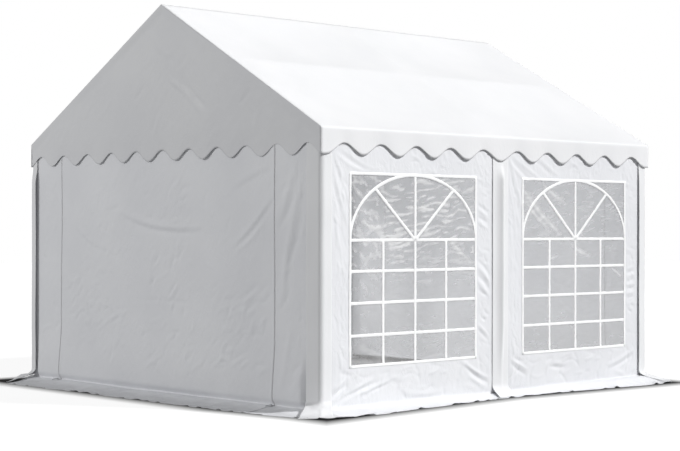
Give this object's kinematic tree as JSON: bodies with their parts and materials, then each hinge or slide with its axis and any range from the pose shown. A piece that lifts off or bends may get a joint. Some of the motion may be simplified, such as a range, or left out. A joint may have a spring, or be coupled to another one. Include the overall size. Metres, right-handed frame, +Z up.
{
  "type": "marquee tent",
  "caption": "White PVC marquee tent with a ridge roof, scalloped valance, arched-bar windows in the side walls, a zip-up door panel in the gable wall and ground flaps, on a steel tube frame.",
  "frame": {"origin": "on the ground in the middle of the plan", "axes": "+X across the gable, +Y along the ridge towards the back gable, +Z up; the front gable faces -Y"},
  "size_m": [4.454, 4.5536, 3.26],
  "materials": {
    "cover": "satin white PVC sheet",
    "wall": "satin white PVC sheet",
    "window_film": "gloss, cloudy clear film",
    "steel": "galvanised"
  },
  "bodies": {
    "root": {"post_front_left": "steel", "post_front_right": "steel", "post_middle_left": "steel", "post_middle_right": "steel", "post_back_left": "steel", "post_back_right": "steel", "ridge_fitting_front": "steel", "ridge_fitting_middle": "steel", "ridge_fitting_back": "steel", "rafter_front_left": "steel", "rafter_front_right": "steel", "rafter_middle_left": "steel", "rafter_middle_right": "steel", "rafter_back_left": "steel", "rafter_back_right": "steel", "eave_rail_front_left": "steel", "eave_rail_front_right": "steel", "eave_rail_back_left": "steel", "eave_rail_back_right": "steel", "ridge_rail_front": "steel", "gable_tie_front": "steel", "ridge_rail_back": "steel", "gable_tie_back": "steel", "purlin_front_left": "steel", "purlin_front_right": "steel", "purlin_back_left": "steel", "purlin_back_right": "steel", "roof_left": "cover", "roof_right": "cover", "gable_front": "cover", "gable_back": "cover", "valance_left": "cover", "valance_right": "cover", "side_wall_front_left": "wall", "side_wall_front_right": "wall", "side_wall_back_left": "wall", "side_wall_back_right": "wall", "front_wall_left": "wall", "front_door": "wall", "front_wall_right": "wall", "back_wall_left": "wall", "back_door": "wall", "back_wall_right": "wall", "corner_strip_front_left": "wall", "corner_strip_front_right": "wall", "corner_strip_back_left": "wall", "corner_strip_back_right": "wall", "middle_strip_left": "wall", "middle_strip_right": "wall", "ground_flap_front": "wall", "ground_flap_back": "wall", "ground_flap_left": "wall", "ground_flap_right": "wall", "window_front_left": "window_film", "window_front_right": "window_film", "window_back_left": "window_film", "window_back_right": "window_film"}
  },
  "joints": []
}
